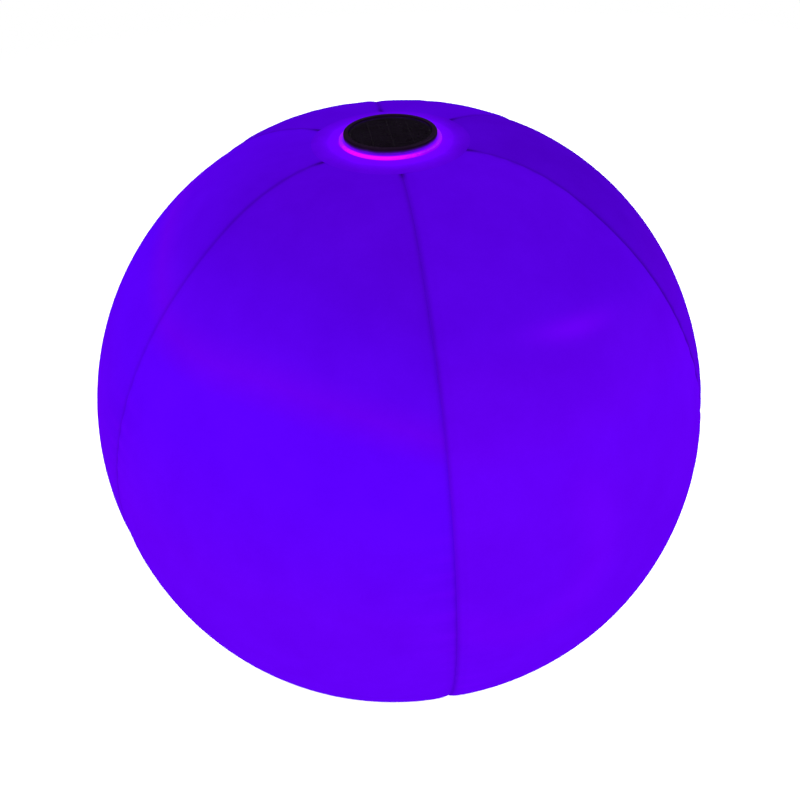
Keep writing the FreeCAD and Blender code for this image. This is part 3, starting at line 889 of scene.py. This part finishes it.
tones = {
    "glaze": ((10, 5, 12), (15, 9, 19)),
    "vinyl": (168, 128, 232),
    "vinylGlow": ((70, 2, 190), (92, 8, 222)),
    "housingAndShoulderShade": ((228, 228, 232), (44, 10, 64)),       # the moulding, and its shoulder painted dark as shade under the bezel, tinted by the ring's light
    "housingGlow": ((0, 0, 0), (74, 4, 176)),
    "lens": (226, 214, 240),
    "lensGlow": ((236, 60, 252), (120, 10, 240)),     # under the lamps, and away from them
    "boardGreen": ((10, 66, 34), (18, 92, 48)),
    "boardTrack": (34, 122, 66),
    "boardBlack": ((8, 5, 11), (12, 8, 16)),
    "lamp": (236, 234, 228),
    "lampGlow": ((200, 20, 240), (255, 90, 255)),
    "sleeve": ((24, 108, 46), (40, 140, 64)),
    "steel": (190, 190, 192),
}

def mouldedFinish(name, dyeAndShade, cloud, grain, depth, **sockets):
    # a plain moulding: dye with faint cloudiness, satin grain and a fine bump
    material, tree, shader = newFinish(name, **sockets)
    point = objectPoint(tree)
    out = useGroup(tree, mouldedGroup, {"Point": point, "DyeAndShade": display(*dyeAndShade), "Cloud": cloud, "Grain": grain})
    wireSurface(tree, shader, out, depth, 0.5)
    return material, tree, shader, point


ring = {
    "facing": (-0.42, -0.91, 0.0),       # the side where the cup's edge shines brightest
    "brightLight": (247, 8, 250),
    "sideLight": (152, 3, 248),
    "backLight": (132, 2, 252),
    "innerLight": (104, 3, 240),
    "wallLight": (88, 10, 200),
    "brightFrom": 0.0233,                # the lit band runs from here to the rim's edge
}


def makeCupFinish():
    # clear moulding with a lit rim: the light grows towards the outer edge and turns purple round the back
    material, tree, shader = newFinish(
        "edgeLitClear", Specular_IOR_Level=0.01, Emission_Strength=0.93)
    point = objectPoint(tree)
    outwards = add(tree, "VectorMath", {0: flattened(tree, point)}, operation="NORMALIZE").outputs[0]
    match = add(tree, "VectorMath", {0: outwards, 1: ring["facing"]}, operation="DOT_PRODUCT")
    sparkle = swing(tree, noise(tree, point, 700.0, 3.0, 0.6), 0.5)
    turned = calc(tree, "ADD", match.outputs["Value"], sparkle)
    side = fade(tree, turned, 0.45, 0.97)
    back = fade(tree, turned, -0.65, 0.1)
    bright = mix(tree, side, display(*ring["sideLight"]), display(*ring["brightLight"]))
    bright = mix(tree, back, display(*ring["backLight"]), bright)
    z = part(tree, point, "Z")
    across = fade(tree, fromAxis(tree, point), ring["brightFrom"] - 0.0009, ring["brightFrom"] + 0.0003)
    rim = mix(tree, across, display(*ring["innerLight"]), bright)
    onRim = fade(tree, z, deckZ - 0.0006, deckZ + 0.0001)
    depthFade = fade(tree, z, float(cupLow[2]), deckZ, 0.35, 1.0)
    wall = scaled(tree, display(*ring["wallLight"])[:3], depthFade)
    wire(tree, mix(tree, onRim, wall, rim), shader, "Emission Color")
    dyeAndShade = display(56, 2, 84)
    out = useGroup(tree, mouldedGroup, {"Point": point, "DyeAndShade": dyeAndShade, "Cloud": 0.12, "Grain": 0.3})
    wireSurface(tree, shader, out, 0.00002, 0.3)
    return material


bezel = {
    "footLight": [                       # height up the ring's side, and the light that creeps up it
        (0.0, (104, 3, 236)), (0.22, (72, 1, 178)), (0.5, (40, 6, 92)), (0.8, (15, 3, 26)), (1.0, (0, 0, 0))],
    "dyeAndShade": (16, 6, 21),
    "gloss": 0.006,
}


def makeBezelFinish():
    material, tree, shader, point = mouldedFinish(
        "blackMoulding", bezel["dyeAndShade"], 0.55, 0.42, 0.00003,
        Specular_IOR_Level=bezel["gloss"], Emission_Strength=1.0)
    z = part(tree, point, "Z")
    wander = swing(tree, noise(tree, point, 260.0), 0.0006)
    top = float(bezelHigh[2])
    climb = fade(tree, calc(tree, "ADD", z, wander), float(bezelLow[2]), top - 0.0004, kind="LINEAR")
    light = ramp(tree, climb, [(share, display(*colour)) for share, colour in bezel["footLight"]])
    wire(tree, light, shader, "Emission Color")
    return material


cells = {
    "pitch": 0.009425,         # from the middle of one cell strip to the next
    "fingerPitch": 0.0019,     # the cells' printed silver lines
    "fingerWidth": 0.045,      # as a share of the pitch
    "busWidth": 0.0009,
    "silicon": ((6, 3, 9), (12, 7, 16)),
    "print": (17, 11, 21),
}


def makeCellFinish():
    # dark crystals of slightly different shade, fine lines across each strip and one broad line along it
    material, tree, shader = newFinish("solarSilicon", Specular_IOR_Level=0.005)
    point = objectPoint(tree)
    grain = add(tree, "TexVoronoi", {"Vector": point, "Scale": 260.0}, feature="F1").outputs["Color"]
    shade = part(tree, grain, "X")
    dark, pale = (display(*tone) for tone in cells["silicon"])
    silicon = mix(tree, fade(tree, shade, 0.0, 1.0, kind="LINEAR"), dark, pale)
    lines = []
    for axis, shift, pitch, width, soft in (
            ("Y", 1.0, cells["fingerPitch"], cells["fingerWidth"], 1.6),
            ("X", 100 * cells["pitch"], cells["pitch"], cells["busWidth"] / cells["pitch"] / 2, 1.3)):
        place = calc(tree, "ADD", part(tree, point, axis), shift)
        share = calc(tree, "FRACT", calc(tree, "DIVIDE", place, pitch))
        fromLine = apart(tree, share, 0.5)
        lines.append(fade(tree, fromLine, width, width * soft, 1.0, 0.0))
    printed = calc(tree, "MAXIMUM", *lines)
    wire(tree, mix(tree, printed, silicon, display(*cells["print"])), shader, "Base Color")
    wire(tree, fade(tree, shade, 0.0, 1.0, 0.26, 0.4), shader, "Roughness")
    bump(tree, shader, printed, 0.00003, 0.6)
    return material


def makeGlazeFinish():
    # clear epoxy over the cells, faintly smoky, with a slightly wavy, dusty face
    material, tree, shader = newFinish("epoxyGlaze", Specular_IOR_Level=0.004, Alpha=0.5)
    point = objectPoint(tree)
    haze = fade(tree, noise(tree, point, 190.0, 4.0, 0.6), 0.3, 0.7)
    wire(tree, tint(tree, haze, tones["glaze"]), shader, "Base Color")
    wire(tree, fade(tree, noise(tree, point, 520.0, 5.0, 0.7), 0.35, 0.7, 0.10, 0.30), shader, "Roughness")
    bump(tree, shader, noise(tree, point, 120.0, 2.0), 0.00006, 0.4)
    return material


def makeVinylFinish():
    # soft clear vinyl that carries the ball's light, cloudy inside
    material, tree, shader, point = mouldedFinish(
        "softVinyl", tones["vinyl"], 0.25, 0.32, 0.00002, Specular_IOR_Level=0.4, Emission_Strength=1.0,
        Subsurface_Weight=0.15, Subsurface_Radius=(0.004, 0.002, 0.006), Subsurface_Scale=0.5)
    cloud = fade(tree, noise(tree, point, 240.0, 3.0), 0.3, 0.7)
    wire(tree, tint(tree, cloud, tones["vinylGlow"]), shader, "Emission Color")
    return material


def makeInnerFilmFinish():
    material, tree, shader = newFinish("pocketFilm", Specular_IOR_Level=0.3, Emission_Strength=1.0, Alpha=0.8)
    out = useGroup(tree, filmGroup, {"Point": objectPoint(tree), "SeamGap": 0.05, "Level": 0.8})
    wire(tree, out["Light"], shader, "Emission Color")
    wireSurface(tree, shader, out, 0.00006, 0.4)
    return material


def makeHousingFinish():
    # white moulding; the shoulder that stands just above the cup's rim is painted dark as shade under the
    # bezel, and the ring's light is painted on it as glow
    material, tree, shader = newFinish("whiteMoulding", Specular_IOR_Level=0.1, Emission_Strength=1.0)
    point = objectPoint(tree)
    z = part(tree, point, "Z")
    rimZ = float(cupHigh[2])
    onShoulder = fade(tree, z, rimZ - 0.0004, rimZ - 0.0001)
    # the shoulder's dark violet base colour is painted shade under the bezel
    dyeAndShade = tint(tree, onShoulder, tones["housingAndShoulderShade"])
    out = useGroup(tree, mouldedGroup, {"Point": point, "DyeAndShade": dyeAndShade, "Cloud": 0.08, "Grain": 0.45})
    wireSurface(tree, shader, out, 0.00003, 0.5)
    wire(tree, tint(tree, onShoulder, tones["housingGlow"]), shader, "Emission Color")
    return material


def makeLensFinish():
    # frosted lens lit from above by the lamps: brightest under each, with a fine moulded ripple
    material, tree, shader, point = mouldedFinish(
        "frostedLens", tones["lens"], 0.1, 0.5, 0.00003, Specular_IOR_Level=0.35, Emission_Strength=1.0)
    lampCircle = 0.0096
    fromLamps = apart(tree, fromAxis(tree, point), lampCircle)
    haze = calc(tree, "MULTIPLY", noise(tree, point, 300.0, 3.0), 0.002)
    away = fade(tree, calc(tree, "ADD", fromLamps, haze), 0.001, 0.009)
    light = tint(tree, away, tones["lensGlow"])
    wire(tree, light, shader, "Emission Color")
    return material


def makeBoardFinish():
    # printed board: a dyed mask over faintly raised copper tracks
    material, tree, shader = newFinish("printedBoard", Specular_IOR_Level=0.4)
    point = objectPoint(tree)
    wires = {"Vector": point, "Scale": 260.0, "Mortar Size": 0.018, "Color1": (0, 0, 0, 1),
             "Color2": (0.25, 0.25, 0.25, 1), "Mortar": (1, 1, 1, 1)}
    track = fade(tree, add(tree, "TexBrick", wires).outputs["Color"], 0.4, 0.8)
    green = tint(tree, noise(tree, point, 330.0, 3.0), tones["boardGreen"])
    green = mix(tree, track, green, display(*tones["boardTrack"]))
    black = tint(tree, track, tones["boardBlack"])
    z = part(tree, point, "Z")
    wire(tree, mix(tree, fade(tree, z, deckZ - 0.001, deckZ), green, black), shader, "Base Color")
    wire(tree, fade(tree, noise(tree, point, 700.0, 3.0), 0.3, 0.7, 0.38, 0.55), shader, "Roughness")
    bump(tree, shader, track, 0.00004, 0.5)
    return material


def makeLedFinish():
    # white package with a glowing window: the light falls off upwards from its lowest face
    material, tree, shader, point = mouldedFinish(
        "lampPackage", tones["lamp"], 0.06, 0.35, 0.00001, Specular_IOR_Level=0.4, Emission_Strength=2.2)
    z = part(tree, point, "Z")
    face = float(nodeBox("colour_led_1")[0][2])
    down = fade(tree, z, face, face + 0.0006, 1.0, 0.0)
    haze = noise(tree, point, 900.0, 3.0)
    glow = tint(tree, haze, tones["lampGlow"])
    lit = scaled(tree, glow, down)
    wire(tree, lit, shader, "Emission Color")
    return material


def metalFinish(name, pale, dark, stretch, low, high, bumpDepth):
    # plated metal: streaks drawn out along one way, and a soft tarnish
    material, tree, shader = newFinish(name, Metallic=1.0)
    point = objectPoint(tree)
    drawn = add(tree, "Mapping", {"Vector": point, "Scale": stretch}).outputs[0]
    streak = noise(tree, drawn, 900.0, 3.0, 0.6)
    tarnish = noise(tree, point, 240.0, 4.0, 0.6)
    shade = calc(tree, "MULTIPLY", streak, tarnish)
    wire(tree, mix(tree, fade(tree, shade, 0.12, 0.4), display(*dark), display(*pale)), shader, "Base Color")
    wire(tree, fade(tree, tarnish, 0.3, 0.7, low, high), shader, "Roughness")
    bump(tree, shader, streak, bumpDepth, 0.4)
    return material


def makeJacketFinish():
    # the cell's shrunk sleeve, with bare steel at its two ends
    material, tree, shader = newFinish("cellSleeve", Specular_IOR_Level=0.5)
    point = objectPoint(tree)
    low, high = nodeBox("rechargeable_cell")
    middle, half = float(low[0] + high[0]) / 2, float(high[0] - low[0]) / 2
    fromMiddle = apart(tree, part(tree, point, "X"), middle)
    bare = fade(tree, fromMiddle, half - 0.0012, half - 0.0010)
    wrinkle = noise(tree, point, 500.0, 3.0)
    sleeve = tint(tree, wrinkle, tones["sleeve"])
    wire(tree, mix(tree, bare, sleeve, display(*tones["steel"])), shader, "Base Color")
    wire(tree, bare, shader, "Metallic")
    wire(tree, fade(tree, wrinkle, 0.3, 0.7, 0.28, 0.42), shader, "Roughness")
    bump(tree, shader, wrinkle, 0.00004, 0.4)
    return material


def plain(name, dyeAndShade, cloud, grain, depth, **sockets):
    return mouldedFinish(name, dyeAndShade, cloud, grain, depth, **sockets)[0]


finishBySlot = {
    "violet_film": filmMaterial,
    "inner_film": makeInnerFilmFinish(),
    "clear_plastic": makeCupFinish(),
    "soft_valve_plastic": makeVinylFinish(),
    "white_plastic": makeHousingFinish(),
    "frosted_lens": makeLensFinish(),
    "black_plastic": makeBezelFinish(),
    "solar_glaze": makeGlazeFinish(),
    "solar_silicon": makeCellFinish(),
    "circuit_board": makeBoardFinish(),
    "component_black": plain("blackPackage", (30, 30, 32), 0.25, 0.55, 0.00002, Specular_IOR_Level=0.35),
    "led_package": makeLedFinish(),
    "bright_metal": metalFinish(
        "zincPlate", (214, 214, 218), (150, 150, 156), (1, 1, 0.08), 0.22, 0.42, 0.00001),
    "contact_metal": metalFinish(
        "nickelStrip", (222, 220, 210), (160, 156, 146), (1, 0.08, 1), 0.18, 0.34, 0.00001),
    "cell_jacket": makeJacketFinish(),
    "red_lead": plain("redInsulation", (176, 16, 20), 0.2, 0.4, 0.00002, Specular_IOR_Level=0.45),
    "black_lead": plain("blackInsulation", (26, 26, 28), 0.2, 0.4, 0.00002, Specular_IOR_Level=0.45),
    "seal_rubber": plain("sealRubber", (44, 44, 46), 0.35, 0.62, 0.00004, Specular_IOR_Level=0.3),
    "button_rubber": plain("buttonRubber", (132, 132, 138), 0.2, 0.58, 0.00004, Specular_IOR_Level=0.35),
    "cast_weight": metalFinish("castDisc", (128, 128, 132), (78, 76, 78), (1, 1, 1), 0.5, 0.75, 0.00012),
}
for node in frame["nodes"].values():
    for holder in node.material_slots:
        if holder.material and holder.material.name in finishBySlot:
            holder.material = finishBySlot[holder.material.name]
strapPiece.data.materials.append(finishBySlot["soft_valve_plastic"])
print("finishes set:", len(finishBySlot))


# the floor

def buildFloor():
    size = studio["floorSize"]
    spread = np.linspace(-size, size, 9)
    y, x = np.meshgrid(spread[::-1], spread, indexing="ij")
    points = np.stack([x, y, np.full(x.shape, -0.0004)], axis=-1)
    floor = makeObject("studioFloor", points, [gridQuads(*x.shape)], smooth=False)
    material, tree, shader = newFinish("paleFloor", Specular_IOR_Level=0.1)
    point = objectPoint(tree)
    patchy = mix(tree, noise(tree, point, 3.0, 3.0), (0.90, 0.90, 0.90, 1), (0.94, 0.94, 0.94, 1))
    wire(tree, patchy, shader, "Base Color")
    wire(tree, fade(tree, noise(tree, point, 60.0, 3.0), 0.3, 0.7, 0.75, 0.9), shader, "Roughness")
    # far out the floor takes the room's white, so that no edge of it shows
    fromMiddle = add(tree, "VectorMath", {0: point}, operation="LENGTH").outputs["Value"]
    away = fade(tree, fromMiddle, studio["floorNear"], studio["floorFar"])
    shown = calc(tree, "MULTIPLY", away, add(tree, "LightPath").outputs["Is Camera Ray"])
    glow = add(tree, "Emission", {"Color": (1, 1, 1, 1), "Strength": studio["worldSeen"]}).outputs[0]
    blend = add(tree, "MixShader", {0: shown, 1: shader.outputs[0], 2: glow}).outputs[0]
    # and from underneath it is clear
    under = add(tree, "NewGeometry").outputs["Backfacing"]
    clear = add(tree, "BsdfTransparent").outputs[0]
    whole = add(tree, "MixShader", {0: under, 1: blend, 2: clear}).outputs[0]
    tree.links.new(whole, tree.nodes["Material Output"].inputs["Surface"])
    floor.data.materials.append(material)


buildFloor()
